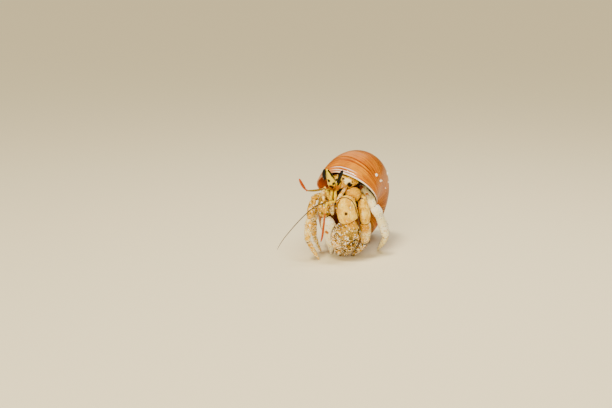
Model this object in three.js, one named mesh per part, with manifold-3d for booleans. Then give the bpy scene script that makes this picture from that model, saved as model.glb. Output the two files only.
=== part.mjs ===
// A life-size land hermit crab standing on the floor in a borrowed moon-snail shell.
// Millimetres, +Z up. The crab looks towards -Y and a little towards -X, so its left side is at +X.
// The origin is on the floor, in the small flat on which the shell rests.
import * as THREE from "three";
import { mergeVertices } from "three/addons/utils/BufferGeometryUtils.js";
import Module from "manifold-3d";

const wasm = await Module();
wasm.setup();

const GAP = 0.3; // clearance between neighbouring plates
const FULL_TURN = 2 * Math.PI;
const degrees = THREE.MathUtils.degToRad;
const vector = (xyz) => new THREE.Vector3(...xyz);

// ---------- colours and finishes ----------

const finish = (color, roughness) => new THREE.MeshStandardMaterial({ color, roughness, metalness: 0 });
const FINISH = {
  shell: finish("#c8762e", 0.25),
  plate: finish("#d2b37c", 0.55),
  pale_plate: finish("#e6dcc4", 0.55),
  face: finish("#c39a4c", 0.4),
  eye: finish("#0b0908", 0.08),
  antennule: finish("#c4561c", 0.35),
  antenna: finish("#6b4a33", 0.5),
  skin: finish("#c4a58a", 0.6),
};

// ---------- the snail shell ----------

// A logarithmic spiral of egg-shaped rings. Lengths are shares of the radius at the lip.
const SHELL = {
  radius: 22, // from the coiling axis out to the lip
  whorlGrowth: 2.0, // how much larger each whorl is than the one before
  ringCentre: 0.507, // ring centre out from the axis
  ringRadial: 0.497, // ring half-width out from the axis
  ringDrop: 0.575, // ring centre below the apex
  ringAxial: 0.476, // ring half-height along the axis
  lipWall: 0.6,
  wall: 1.1, // wall thickness behind the lip, in mm
  hollowTurn: degrees(200), // how far back from the lip the living space is hollow
  axisPoint: [2.7, -4.7, 13.85], // where the lip ring's centre plane crosses the coiling axis
  apexTilt: degrees(2.5),
  apexYaw: degrees(33), // the apex points left and back
  lipLean: degrees(51.4), // the lip leans forward from straight up
  lipSweep: degrees(9), // how far the lip's apex side runs on past the rest of it
  sweepStart: degrees(-50), // where the wall begins to sweep forward
};

// The post round which the whorls wind, in mm below the apex.
const COLUMELLA = { top: -5, bottom: -13.4, thickness: 2.2 };

// The low dome that closes the tip, its middle `level` mm above the apex point.
const APEX_CAP = { radius: 3.4, height: 1.5, level: -1.6 };

// Rotation of the shell: its z runs to the apex and its x points out to the lip.
function shellPlacement() {
  const { apexTilt, apexYaw, lipLean } = SHELL;
  const apex = new THREE.Vector3(
    -Math.cos(apexTilt) * Math.cos(apexYaw),
    Math.cos(apexTilt) * Math.sin(apexYaw),
    Math.sin(apexTilt),
  );
  const lip = new THREE.Vector3(0, -Math.sin(lipLean), Math.cos(lipLean));
  lip.addScaledVector(apex, -lip.dot(apex)).normalize();
  const side = new THREE.Vector3().crossVectors(apex, lip);
  const placement = new THREE.Matrix4().makeBasis(lip, side, apex);
  const apexPoint = vector(SHELL.axisPoint).addScaledVector(apex, SHELL.ringDrop * SHELL.radius);
  return placement.setPosition(apexPoint);
}

const STEPS_PER_TURN = 21;

// The wall's thickness at a turn: it grows over the first sixth of a turn behind the lip.
function wallAt(turn) {
  const share = Math.min(1, -turn / degrees(60));
  return THREE.MathUtils.lerp(SHELL.lipWall, SHELL.wall, share);
}

// The turn of a point on its ring, `out` from the axis and `up` to the apex: near the lip, the apex side
// runs ahead.
function sweptTurn(turn, out, up) {
  const share = Math.max(0, 1 - turn / SHELL.sweepStart);
  return turn + SHELL.lipSweep * share ** 2 * Math.max(0, up) * Math.min(1, 1 + out);
}

// A length of the spiral tube from turn `from` to turn `to` (0 at the lip, negative towards the apex).
// `inset` gives how far the tube lies inside the outer surface at each turn, in mm.
function whorl(from, to, inset, around = 20) {
  const steps = Math.ceil(((to - from) / FULL_TURN) * STEPS_PER_TURN);
  const tube = new THREE.CylinderGeometry(1, 1, 1, around, steps);
  const place = tube.getAttribute("position");
  for (let i = 0; i < place.count; i++) {
    const [x, y, z] = [place.getX(i), place.getY(i), place.getZ(i)];
    const evenTurn = THREE.MathUtils.lerp(from, to, 0.5 - y);
    const turn = sweptTurn(evenTurn, x, z);
    const size = SHELL.radius * SHELL.whorlGrowth ** (turn / FULL_TURN);
    const reach = SHELL.ringCentre * size + (SHELL.ringRadial * size - inset(evenTurn)) * x;
    const height = -SHELL.ringDrop * size + (SHELL.ringAxial * size - inset(evenTurn)) * z;
    place.setXYZ(i, reach * Math.cos(turn), -reach * Math.sin(turn), height);
  }
  return solid(tube.applyMatrix4(shellPlacement()));
}

// The shell: solid inner whorls joined to a last whorl that is hollow behind the lip.
function shellSolid(grow = 0) {
  const outer = () => -grow;
  const inner = (turn) => wallAt(turn) + grow;
  const lipEnd = grow / SHELL.radius;
  const lastWhorl = whorl(degrees(-380), degrees(-190), outer).add(whorl(degrees(-200), lipEnd, outer));
  const livingSpace = whorl(-SHELL.hollowTurn, degrees(8), inner);
  const innerWhorls = whorl(degrees(-560), degrees(-350), outer, 10).add(
    whorl(degrees(-740), degrees(-550), outer, 8),
  );
  const { top, bottom, thickness } = COLUMELLA;
  const girth = thickness / 2 + grow;
  const post = new THREE.CylinderGeometry(girth, girth, top - bottom + 2 * grow, 8, 1);
  post.rotateX(Math.PI / 2).translate(0, 0, (top + bottom) / 2);
  const columella = solid(post.applyMatrix4(shellPlacement()));
  const apexCap = solid(
    new THREE.SphereGeometry(1, 9, 6)
      .scale(APEX_CAP.radius + grow, APEX_CAP.height + grow, APEX_CAP.radius + grow)
      .rotateX(Math.PI / 2)
      .translate(0, 0, APEX_CAP.level)
      .applyMatrix4(shellPlacement()),
  );
  return lastWhorl.subtract(livingSpace).add(innerWhorls).add(columella).add(apexCap);
}

// ---------- rounded lengths of body ----------

function solid(geometry) {
  const bare = geometry.clone();
  bare.deleteAttribute("normal");
  bare.deleteAttribute("uv");
  const merged = mergeVertices(bare, 1e-4);
  const triVerts = new Uint32Array(merged.index.array);
  const vertProperties = merged.attributes.position.array;
  return new wasm.Manifold(new wasm.Mesh({ numProp: 3, vertProperties, triVerts }));
}

// The curve through three values at the start, middle and end of a length.
const through = ([start, middle, end], t) =>
  start * (1 - t) * (1 - 2 * t) + middle * 4 * t * (1 - t) + end * t * (2 * t - 1);

// A closed pod: a sphere whose poles are drawn out along a curve. `wide` and `thick` are full widths
// across and along `facing`, at the start, middle and end. A low `blunt` gives square ends.
function pod({ line, wide, thick, facing, blunt = 0.55, around = 8, along = 7 }, grow = 0) {
  const curve = new THREE.CatmullRomCurve3(line.map(vector), false, "centripetal");
  const ball = new THREE.SphereGeometry(1, around, along);
  const place = ball.getAttribute("position");
  for (let i = 0; i < place.count; i++) {
    const [x, y, z] = [place.getX(i), place.getY(i), place.getZ(i)];
    const t = THREE.MathUtils.clamp((1 - y) / 2, 0, 1);
    const ring = Math.hypot(x, z);
    const fullness = ring > 1e-6 ? ring ** (blunt - 1) : 0;
    const tangent = curve.getTangent(t);
    const side = new THREE.Vector3().crossVectors(vector(facing), tangent).normalize();
    const front = new THREE.Vector3().crossVectors(tangent, side);
    const point = curve
      .getPoint(t)
      .addScaledVector(tangent, -grow * y)
      .addScaledVector(side, x * fullness * (through(wide, t) / 2 + grow))
      .addScaledVector(front, z * fullness * (through(thick, t) / 2 + grow));
    place.setXYZ(i, ...point.toArray());
  }
  return solid(ball);
}

// ---------- limbs ----------

// Plates of a walking leg: their share of the leg's girth at the start, middle and end.
const FORWARD_PLATE_FACING = [0, -0.2, 1]; // plates that run forward lie with their flat side up
const LEG_PLATES = {
  merus: { wide: [0.8, 1.0, 0.95], blunt: 0.45, facing: FORWARD_PLATE_FACING },
  carpus: { wide: [0.75, 1.05, 1.0], blunt: 0.4 },
  propodus: { wide: [0.9, 1.05, 0.9], blunt: 0.4 },
  dactyl: { wide: [0.85, 0.7, 0.24], blunt: 0.7 },
};
const LEG_FLATTENING = 0.74;
const LEG_BOW = 0.12; // how far a plate's middle bows out, as a share of the girth
const LAP = 0.8; // how far a plate's rounded end reaches past its joint

// Joints run from the hip to the tip.
const LEGS = {
  leg2_left: {
    girth: 4.0,
    facing: [0.45, -1, 0.1],
    joints: [
      [1.2, -13.4, 20.6],
      [2.6, -19.2, 20.4],
      [3.9, -20.3, 13.0],
      [4.0, -17.6, 5.6],
      [0.1, -15.4, 0.2],
    ],
  },
  leg3_left: {
    girth: 3.8,
    facing: [0.75, -0.85, 0.2],
    joints: [
      [3.2, -12.6, 23.0],
      [6.4, -18.3, 17.6],
      [8.2, -18.2, 15.2],
      [11.2, -14.0, 6.6],
      [9.2, -8.2, 0.3],
    ],
  },
  leg2_right: {
    girth: 2.8,
    facing: [-0.75, -0.8, 0.1],
    joints: [
      [-9.4, -13.4, 20.6],
      [-12.8, -17.6, 20.4],
      [-14.1, -20.4, 14.6],
      [-14.8, -21.2, 7.2],
      [-11.2, -19.9, 0.3],
    ],
  },
  leg3_right: {
    girth: 2.7,
    facing: [-0.9, -0.5, 0],
    joints: [
      [-8.2, -10.6, 18.0],
      [-11.4, -13.6, 16.4],
      [-12.6, -15.4, 12.6],
      [-12.6, -14.6, 7.0],
      [-10.3, -9.9, 0.3],
    ],
  },
};

// A plate's line from one joint to the next, lapping both, with its middle bowed out.
function plateLine(from, to, facing, bow) {
  const [a, b] = [vector(from), vector(to)];
  const along = new THREE.Vector3().subVectors(b, a).normalize();
  const middle = new THREE.Vector3().lerpVectors(a, b, 0.5);
  middle.addScaledVector(vector(facing).normalize(), bow);
  a.addScaledVector(along, -LAP);
  b.addScaledVector(along, LAP);
  return [a.toArray(), middle.toArray(), b.toArray()];
}

function legPlates(name, { girth, facing, joints }) {
  return Object.entries(LEG_PLATES).map(([plate, { wide, ...own }], i) => {
    const fullWidth = wide.map((share) => share * girth);
    return {
      name: `${name}_${plate}`,
      line: plateLine(joints[i], joints[i + 1], facing, LEG_BOW * girth),
      wide: fullWidth,
      thick: fullWidth.map((width) => width * LEG_FLATTENING),
      facing,
      ...own,
    };
  });
}

// The great claw (left) and the small claw (right). The palm carries the fixed finger.
const CLAWS = {
  claw_left: {
    facing: [0.15, -1, 0.15],
    plates: {
      carpus: {
        line: [[-1.3, -22.0, 21.8], [-2.2, -24.2, 18.6], [-1.9, -24.7, 16.2], [-1.2, -24.6, 14.2]],
        wide: [5.6, 6.8, 7.4],
        thick: [3.8, 4.8, 4.8],
        blunt: 0.4,
      },
      dactyl: {
        line: [[-4.6, -24.5, 13.6], [-5.4, -22.0, 7.6], [-4.0, -15.6, -0.1]],
        wide: [2.6, 4.1, 1.3],
        thick: [3.0, 3.4, 1.1],
        blunt: 0.6,
      },
      palm: {
        line: [[-2.0, -24.6, 14.8], [-1.2, -22.9, 10.2], [-1.5, -19.4, 4.8], [-2.7, -15.5, -0.1]],
        wide: [5.8, 7.0, 1.6],
        thick: [4.2, 5.0, 1.4],
        blunt: 0.5,
        along: 9,
      },
      merus: {
        line: [[-0.4, -15.2, 21.6], [-0.1, -19.0, 22.4], [-0.5, -22.6, 21.4]],
        wide: [3.8, 5.0, 5.4],
        thick: [3.4, 4.2, 4.2],
        facing: FORWARD_PLATE_FACING,
        blunt: 0.45,
      },
    },
  },
  claw_right: {
    facing: [-0.45, -1, 0.1],
    plates: {
      carpus: {
        line: [[-10.2, -20.4, 21.2], [-9.9, -22.9, 18.7], [-9.2, -23.0, 15.4]],
        wide: [2.8, 3.9, 4.4],
        thick: [2.6, 3.6, 3.4],
        blunt: 0.42,
      },
      dactyl: {
        line: [[-5.9, -20.2, 11.6], [-4.9, -17.2, 6.4], [-5.7, -12.6, -0.1]],
        wide: [1.8, 2.3, 0.9],
        thick: [2.2, 2.4, 0.9],
        blunt: 0.65,
      },
      palm: {
        line: [[-9.0, -23.0, 15.6], [-8.0, -21.6, 12.0], [-7.3, -18.2, 6.6], [-7.0, -12.6, -0.1]],
        wide: [4.6, 5.4, 1.0],
        thick: [3.2, 3.8, 1.0],
        blunt: 0.5,
        along: 9,
      },
      merus: {
        line: [[-7.6, -14.6, 20.6], [-9.4, -17.6, 21.4], [-10.2, -20.9, 21.0]],
        wide: [2.4, 3.0, 2.8],
        thick: [2.4, 2.8, 2.6],
        facing: FORWARD_PLATE_FACING,
        blunt: 0.45,
      },
    },
  },
};

// ---------- head ----------

const EYE_SIDE = [0.81, -0.58, 0]; // the stalks are flat from side to side
const FACE = [-0.3, -0.9, 0.25];

const EYES = {
  eye_right: {
    finish: "eye",
    pods: [
      {
        line: [[-9.3, -23.6, 27.7], [-9.7, -24.5, 29.5], [-9.5, -24.8, 31.4]],
        wide: [1.2, 1.35, 1.1],
        thick: [1.1, 1.3, 1.0],
        facing: EYE_SIDE,
      },
    ],
  },
  eye_left: {
    finish: "eye",
    pods: [
      {
        line: [[-5.0, -23.4, 27.2], [-4.5, -24.4, 29.2], [-3.8, -24.8, 31.0]],
        wide: [1.2, 1.35, 1.1],
        thick: [1.1, 1.3, 1.0],
        facing: EYE_SIDE,
      },
    ],
  },
  eyestalk_right: {
    finish: "face",
    pods: [
      {
        line: [[-7.2, -20.7, 23.8], [-7.4, -22.3, 27.2], [-8.9, -23.6, 31.2]],
        wide: [2.0, 2.7, 1.1],
        thick: [1.8, 2.9, 0.9],
        facing: EYE_SIDE,
        blunt: 0.65,
      },
    ],
  },
  eyestalk_left: {
    finish: "face",
    pods: [
      {
        line: [[-5.3, -20.4, 23.4], [-4.8, -22.1, 27.0], [-4.2, -23.4, 30.2]],
        wide: [2.0, 2.2, 1.3],
        thick: [1.4, 1.3, 0.9],
        facing: EYE_SIDE,
        blunt: 0.65,
      },
    ],
  },
};

// A round length of feeler.
const feeler = (line, widths, shape = {}) => ({
  line,
  wide: widths,
  thick: widths,
  facing: FACE,
  around: 6,
  along: 5,
  ...shape,
});

// Each antennule folds in a Z: three stalk lengths, then a whip.
const ANTENNULES = {
  antennule_right_whip: {
    finish: "antennule",
    pods: [
      feeler([[-15.3, -27.4, 25.1], [-16.6, -28.0, 26.9], [-17.6, -28.4, 29.0]], [0.75, 1.0, 0.7], {
        blunt: 0.7,
      }),
    ],
  },
  antennule_right_stalk: {
    finish: "face",
    pods: [
      feeler([[-7.2, -21.4, 24.2], [-7.5, -24.6, 20.9]], [1.2, 1.2, 1.2]),
      feeler([[-7.5, -24.6, 20.7], [-9.4, -26.1, 25.4]], [1.1, 1.1, 1.1]),
      feeler([[-9.2, -25.9, 25.3], [-12.3, -26.9, 24.8], [-15.2, -27.4, 24.9]], [1.0, 0.85, 0.85]),
    ],
  },
  antennule_left_whip: {
    finish: "antennule",
    pods: [
      feeler(
        [[-9.45, -27.9, 17.1], [-9.8, -27.6, 13.4], [-10.2, -27.0, 10.0], [-10.7, -26.0, 7.8]],
        [0.7, 0.75, 0.6],
        { along: 9, blunt: 0.7 },
      ),
    ],
  },
  antennule_left_stalk: {
    finish: "face",
    pods: [
      feeler([[-6.0, -21.4, 23.8], [-6.2, -25.0, 21.0]], [1.2, 1.2, 1.2]),
      feeler([[-6.1, -24.9, 20.9], [-8.9, -26.6, 20.7]], [1.1, 1.1, 1.1]),
      feeler([[-8.8, -26.5, 21.0], [-9.3, -27.6, 17.3]], [1.0, 0.9, 0.85]),
    ],
  },
};

const WHIP = { widths: [0.7, 0.55, 0.5], shape: { along: 13, blunt: 0.35 } };

const ANTENNAE = {
  antenna_right_stalk: {
    finish: "face",
    pods: [feeler([[-9.2, -18.8, 24.4], [-9.9, -21.8, 23.0], [-9.7, -24.0, 20.4]], [1.4, 1.3, 1.0])],
  },
  antenna_right_whip: {
    finish: "antenna",
    pods: [
      feeler(
        [
          [-9.9, -24.3, 20.2],
          [-11.6, -25.9, 19.9],
          [-13.8, -26.9, 18.8],
          [-17.3, -28.2, 15.7],
          [-20.5, -28.9, 12.2],
          [-23.0, -29.3, 9.1],
          [-24.6, -29.4, 6.1],
        ],
        WHIP.widths,
        WHIP.shape,
      ),
    ],
  },
  antenna_left_stalk: {
    finish: "face",
    pods: [feeler([[-2.2, -18.8, 24.6], [-4.0, -22.2, 22.8], [-6.0, -24.6, 20.3]], [1.6, 1.45, 1.2])],
  },
  antenna_left_whip: {
    finish: "antenna",
    pods: [
      feeler(
        [
          [-5.6, -25.0, 20.6],
          [-5.0, -26.4, 21.9],
          [-3.4, -27.6, 22.6],
          [-1.6, -27.9, 22.4],
          [-0.1, -28.0, 20.6],
          [0.6, -27.8, 17.6],
          [1.5, -26.4, 14.4],
          [1.6, -24.0, 10.6],
          [1.2, -22.0, 7.4],
        ],
        WHIP.widths,
        WHIP.shape,
      ),
    ],
  },
};

const MOUTH = {
  mouthpart_right: {
    finish: "pale_plate",
    pods: [
      {
        line: [[-7.0, -20.6, 20.0], [-7.2, -22.2, 17.9], [-6.9, -21.8, 15.6]],
        wide: [1.8, 2.2, 1.2],
        thick: [1.6, 1.8, 1.0],
        facing: FACE,
      },
    ],
  },
  mouthpart_left: {
    finish: "pale_plate",
    pods: [
      {
        line: [[-4.8, -20.4, 20.0], [-5.0, -22.2, 17.9], [-5.0, -21.8, 15.6]],
        wide: [1.8, 2.2, 1.2],
        thick: [1.6, 1.8, 1.0],
        facing: FACE,
      },
    ],
  },
};

// ---------- body, and the small hind legs that hold the shell ----------

const BODY = {
  carapace_shield: {
    finish: "plate",
    pods: [
      {
        line: [[-1.2, -13.4, 25.6], [-3.7, -17.4, 26.0], [-6.0, -20.8, 25.2]],
        wide: [9.6, 9.8, 4.8],
        thick: [3.6, 4.8, 3.4],
        facing: [0, 0, 1],
        blunt: 0.5,
      },
    ],
  },
  thorax: {
    finish: "skin",
    pods: [
      {
        line: [[-1.6, -11.4, 21.0], [-3.6, -15.2, 20.2], [-5.6, -19.4, 18.8]],
        wide: [6.4, 7.2, 3.4],
        thick: [6.0, 6.0, 3.2],
        facing: [0, 0, 1],
        around: 6,
      },
    ],
  },
};

const HIND_LEGS = {
  leg4_left: {
    finish: "plate",
    pods: [
      {
        line: [[2.6, -11.6, 19.2], [4.6, -14.6, 18.6], [5.0, -15.8, 16.0]],
        wide: [1.6, 2.0, 1.4],
        thick: [1.4, 1.6, 1.2],
        facing: [1, -0.5, 0],
        around: 6,
      },
    ],
  },
  leg4_right: {
    finish: "plate",
    pods: [
      {
        line: [[-6.4, -10.2, 21.6], [-8.4, -11.8, 21.4], [-9.6, -12.8, 19.6]],
        wide: [1.6, 2.0, 1.4],
        thick: [1.4, 1.6, 1.2],
        facing: [-1, -0.3, 0],
        around: 6,
      },
    ],
  },
};

// The soft abdomen winds along the shell's living space.
const ABDOMEN = { from: degrees(-125), to: degrees(-26), clearance: 1.4, narrowing: 2, around: 8 };

function abdomen(grow = 0) {
  const { from, to, clearance, narrowing, around } = ABDOMEN;
  const inset = (turn) => wallAt(turn) + clearance - narrowing * (turn / FULL_TURN) - grow;
  return whorl(from, to, inset, around);
}

// ---------- the whole animal ----------

// Pieces in the order in which they keep their form: each is cut back from all those before it.
const pieces = [];

function place(region, name, finishName, form, origin = [0, 0, 0]) {
  pieces.push({ region, name, material: FINISH[finishName].clone(), origin: vector(origin), form });
}

function placePods(region, name, finishName, pods) {
  const form = (grow) => pods.map((each) => pod(each, grow)).reduce((whole, next) => whole.add(next));
  place(region, name, finishName, form, pods[0].line[0]);
}

function placeAll(region, members) {
  for (const [name, { finish: finishName, pods }] of Object.entries(members)) {
    placePods(region, name, finishName, pods);
  }
}

place("shell", "snail_shell", "shell", shellSolid);
placeAll("eyes", EYES);
placeAll("antennules", ANTENNULES);
placeAll("antennae", ANTENNAE);
placeAll("mouth", MOUTH);
for (const [claw, { facing, plates }] of Object.entries(CLAWS)) {
  for (const [plate, shape] of Object.entries(plates)) {
    placePods(claw, `${claw}_${plate}`, "plate", [{ facing, around: 10, along: 8, ...shape }]);
  }
}
for (const [leg, spec] of Object.entries(LEGS)) {
  for (const plate of legPlates(leg, spec)) {
    placePods(leg, plate.name, "plate", [plate]);
  }
}
placeAll("body", BODY);
placeAll("hind_legs", HIND_LEGS);
place("body", "abdomen", "skin", abdomen);

const FLOOR_DEPTH = 10;
const floor = solid(new THREE.BoxGeometry(200, 200, FLOOR_DEPTH).translate(0, 0, -FLOOR_DEPTH / 2));

const meets = (a, b) => [0, 1, 2].every((axis) => a.min[axis] <= b.max[axis] && b.min[axis] <= a.max[axis]);
const largest = (bodies) => bodies.reduce((best, each) => (each.volume() > best.volume() ? each : best));

function cutApart() {
  const cutters = [];
  for (const piece of pieces) {
    let body = piece.form(0).subtract(floor);
    for (const { grown, box } of cutters) {
      if (meets(box, body.boundingBox())) body = body.subtract(grown);
    }
    piece.body = largest(body.decompose());
    const grown = piece.form(GAP);
    cutters.push({ grown, box: grown.boundingBox() });
  }
}

function geometryOf(body, origin) {
  const { vertProperties, triVerts } = body.getMesh();
  const geometry = new THREE.BufferGeometry();
  geometry.setAttribute("position", new THREE.BufferAttribute(vertProperties, 3));
  geometry.setIndex(new THREE.BufferAttribute(triVerts, 1));
  geometry.translate(-origin.x, -origin.y, -origin.z);
  return geometry;
}

function assemble() {
  const crab = new THREE.Group();
  const regions = new Map();
  for (const { region, name, material, origin, body } of pieces) {
    if (!regions.has(region)) regions.set(region, crab.add(new THREE.Group()).children.at(-1));
    const mesh = new THREE.Mesh(geometryOf(body, origin), material);
    mesh.name = name;
    mesh.position.copy(origin);
    regions.get(region).add(mesh);
  }
  return crab;
}

cutApart();
export default assemble();
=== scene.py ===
import math
import random

import bmesh
import bpy
from bpy.props import FloatProperty, FloatVectorProperty, IntProperty, PointerProperty
from mathutils import Matrix, Vector, kdtree, noise


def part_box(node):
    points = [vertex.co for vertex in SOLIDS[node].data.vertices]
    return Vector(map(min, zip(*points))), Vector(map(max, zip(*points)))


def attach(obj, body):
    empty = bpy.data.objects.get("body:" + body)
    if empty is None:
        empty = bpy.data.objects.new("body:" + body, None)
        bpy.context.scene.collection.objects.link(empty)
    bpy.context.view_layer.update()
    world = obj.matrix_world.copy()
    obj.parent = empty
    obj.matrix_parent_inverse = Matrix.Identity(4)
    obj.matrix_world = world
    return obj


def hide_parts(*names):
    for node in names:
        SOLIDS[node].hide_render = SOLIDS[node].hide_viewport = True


bl_info = {
    "name": "Land hermit crab",
    "version": (1, 0, 0),
    "blender": (4, 5, 0),
    "location": "View3D > Sidebar > Hermit crab",
    "description": "Dresses a land hermit crab and the snail shell that it lives in",
    "category": "Object",
}

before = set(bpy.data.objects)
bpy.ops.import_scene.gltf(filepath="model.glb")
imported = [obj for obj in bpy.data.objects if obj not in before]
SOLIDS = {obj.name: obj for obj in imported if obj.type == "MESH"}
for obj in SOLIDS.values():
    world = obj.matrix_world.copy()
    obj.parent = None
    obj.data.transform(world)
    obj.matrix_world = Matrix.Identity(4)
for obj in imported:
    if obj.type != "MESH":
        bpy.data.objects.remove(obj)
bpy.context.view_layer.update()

MM = 0.001
FULL_TURN = 2 * math.pi
WELD = 1e-6  # metres: closer corners of a solid are one corner


# ---------- small helpers ----------


def mm(*values):
    """A point given in millimetres."""
    return Vector(values) * MM


def linear(code):
    """Turns an sRGB hex colour into linear light, with full alpha."""
    shares = [int(code[i : i + 2], 16) / 255 for i in (1, 3, 5)]
    return [s / 12.92 if s <= 0.04045 else ((s + 0.055) / 1.055) ** 2.4 for s in shares] + [1.0]


def per_metre(size_mm):
    """The texture scale whose features are `size_mm` across."""
    return 1 / (size_mm * MM)


def node(tree, kind, inputs=None, stops=None, **settings):
    """Adds a shader node. `inputs` maps sockets to values or to other nodes' outputs."""
    made = tree.nodes.new(kind)
    for name, value in settings.items():
        setattr(made, name, value)
    for key, value in (inputs or {}).items():
        if isinstance(value, bpy.types.NodeSocket):
            tree.links.new(value, made.inputs[key])
        else:
            made.inputs[key].default_value = value
    for i, (place, colour) in enumerate(stops or ()):
        ramp = made.color_ramp.elements
        stop = ramp[i] if i < len(ramp) else ramp.new(place)
        stop.position = place
        stop.color = colour
    return made


def new_material(name):
    """A material with only its output and shader, and the shader's tree."""
    material = bpy.data.materials.new(name)
    material.use_nodes = True
    tree = material.node_tree
    tree.nodes.clear()
    shader = node(tree, "ShaderNodeBsdfPrincipled")
    node(tree, "ShaderNodeOutputMaterial", {"Surface": shader.outputs[0]})
    return material, tree, shader


def mixed(tree, share, first, second, blend_type="MIX"):
    """The output that blends two colours by `share`."""
    inputs = {0: share, 6: first, 7: second}
    return node(tree, "ShaderNodeMix", inputs, data_type="RGBA", blend_type=blend_type).outputs[2]


# ---------- sizes and colours a user would change ----------


def length_property(name, description, default_mm):
    return FloatProperty(
        name=name,
        description=description,
        default=default_mm * MM,
        min=0.0,
        unit="LENGTH",
        precision=5,
    )


def colour_property(name, description, code):
    return FloatVectorProperty(
        name=name,
        description=description,
        default=linear(code),
        size=4,
        min=0.0,
        max=1.0,
        subtype="COLOR",
    )


class HermitCrabSizes(bpy.types.PropertyGroup):
    """Sizes of the surface detail."""

    form_mesh: length_property("Plate mesh", "Mesh size of the rounded plates", 0.13)
    plate_swell: length_property("Plate swell", "How far the plates swell towards their joints", 0.02)
    whip_swell: length_property("Whip swell", "How much the short whips are thickened and the long ones thinned", 0.08)
    plate_relief: length_property("Plate relief", "Height of the lumps on the plates", 0.06)
    bead: length_property("Bead", "Width of the largest pearly bead on the great claw", 0.62)
    grit: length_property("Grit", "Width of the largest sandy grain on legs and claws", 0.34)
    bristle: length_property("Bristle", "Length of the longest bristle", 0.9)
    bristle_width: length_property("Bristle width", "Thickness of a bristle at its root", 0.07)
    growth_relief: length_property("Growth relief", "Height of the shell's growth lines", 0.05)
    seed: IntProperty(name="Seed", description="Seed for scattered grains and bristles", default=7)


class HermitCrabColours(bpy.types.PropertyGroup):
    """Colours of the shell and the crab."""

    shell_orange: colour_property("Shell orange", "New shell behind the lip", "#b45800")
    shell_deep: colour_property("Shell deep orange", "Growth lines of the shell", "#8a2c00")
    shell_bright: colour_property("Shell bright", "Bright growth lines of the shell", "#ec9404")
    shell_salmon: colour_property("Shell salmon", "Crown of the shell", "#e89860")
    shell_amber: colour_property("Shell amber", "Lower side of the shell", "#5c3403")
    # Whitened past the lip's own pale colour as a painted highlight; it also paints the highlight lines on the ridges
    # behind the lip.
    shell_lip_highlight: colour_property("Shell lip", "Thin edge of the lip", "#fff2e4")
    # Painted shade: the dark of the shell's throat and of its wall behind the claws.
    shell_throat_shade: colour_property("Shell throat", "Deep inside of the shell", "#5a2200")
    # Painted light: the bright inner wall where the light comes in over the lip.
    shell_inside_lit: colour_property("Shell inside", "Inner wall of the shell", "#ff9040")
    tan: colour_property("Tan", "Ground colour of the plates", "#dca008")
    khaki: colour_property("Khaki", "Worn lower part of the great claw", "#a88c40")
    straw: colour_property("Straw", "Lights of the plates", "#ffd44c")
    brown: colour_property("Brown", "Darks of the plates", "#3e2408")
    orange: colour_property("Orange", "Orange patches of the plates", "#b86c00")
    cream: colour_property("Cream", "Ground colour of the pale plates", "#fae49c")
    ivory: colour_property("Ivory", "Ground colour of the whitest plates", "#fff2bc")
    white: colour_property("White", "Lights of the pale plates", "#fffaea")
    gold: colour_property("Gold", "Feeler stalks and face", "#cc9000")
    # Also the painted shadow between the great claw's palm and the leg beside it.
    dark_mark_and_shade: colour_property("Dark", "Marks on the head", "#0e0603")
    cornea: colour_property("Cornea", "Eyes", "#010102")
    bright_gold: colour_property("Bright gold", "Lights of the feeler stalks", "#f0d800")
    olive: colour_property("Olive", "Stalk of the outstretched feeler", "#7c5c0c")
    antennule: colour_property("Antennule", "Whips of the inner feelers", "#a84600")
    antenna: colour_property("Antenna", "Whips of the outer feelers", "#4a3322")
    skin: colour_property("Skin", "Soft skin of the body", "#4a2408")
    floor: colour_property("Floor", "Floor under the crab", "#faeec8")


def sizes():
    return bpy.context.scene.hermit_crab_sizes


def colour(name):
    return list(getattr(bpy.context.scene.hermit_crab_colours, name))


# ---------- forms ----------


def add_piece(name, shape, material, replaced=(), smooth=True):
    """Makes an object of a bmesh, gives it its finish, and sets it on the crab."""
    mesh = bpy.data.meshes.new(name)
    shape.to_mesh(mesh)
    shape.free()
    mesh.materials.clear()
    mesh.materials.append(material)
    if smooth:
        mesh.shade_smooth()
    piece = bpy.data.objects.new(name, mesh)
    bpy.context.scene.collection.objects.link(piece)
    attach(piece, "root")
    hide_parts(*replaced)
    return piece


def merged_copy(names):
    """The named solids' faces in one bmesh, with shared corners joined."""
    shape = bmesh.new()
    for name in names:
        shape.from_mesh(SOLIDS[name].data)
    bmesh.ops.remove_doubles(shape, verts=shape.verts, dist=WELD)
    bmesh.ops.join_triangles(
        shape, faces=shape.faces, angle_face_threshold=0.6, angle_shape_threshold=0.9
    )
    return shape


def finished(shape, *modifiers):
    """A bmesh of a shape after modifiers, each given as (kind, settings)."""
    mesh = bpy.data.meshes.new("form")
    shape.to_mesh(mesh)
    shape.free()
    holder = bpy.data.objects.new("form", mesh)
    bpy.context.scene.collection.objects.link(holder)
    for kind, settings in modifiers:
        modifier = holder.modifiers.new(kind.lower(), kind)
        for name, value in settings.items():
            setattr(modifier, name, value)
    shown = holder.evaluated_get(bpy.context.evaluated_depsgraph_get())
    result = bmesh.new()
    result.from_mesh(shown.to_mesh())
    bpy.data.objects.remove(holder)
    bpy.data.meshes.remove(mesh)
    return result


def corners(points):
    """Lowest and highest corner of some points."""
    columns = list(zip(*points))
    return Vector(map(min, columns)), Vector(map(max, columns))


def fit_to_box(shape, low, high):
    """Stretches a shape so that its box is the given one."""
    own_low, own_high = corners(v.co for v in shape.verts)
    stretch = [(h - l) / (oh - ol) for l, h, ol, oh in zip(low, high, own_low, own_high)]
    matrix = (
        Matrix.Translation((low + high) / 2)
        @ Matrix.Diagonal(stretch).to_4x4()
        @ Matrix.Translation(-(own_low + own_high) / 2)
    )
    bmesh.ops.transform(shape, matrix=matrix, verts=shape.verts)


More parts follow.
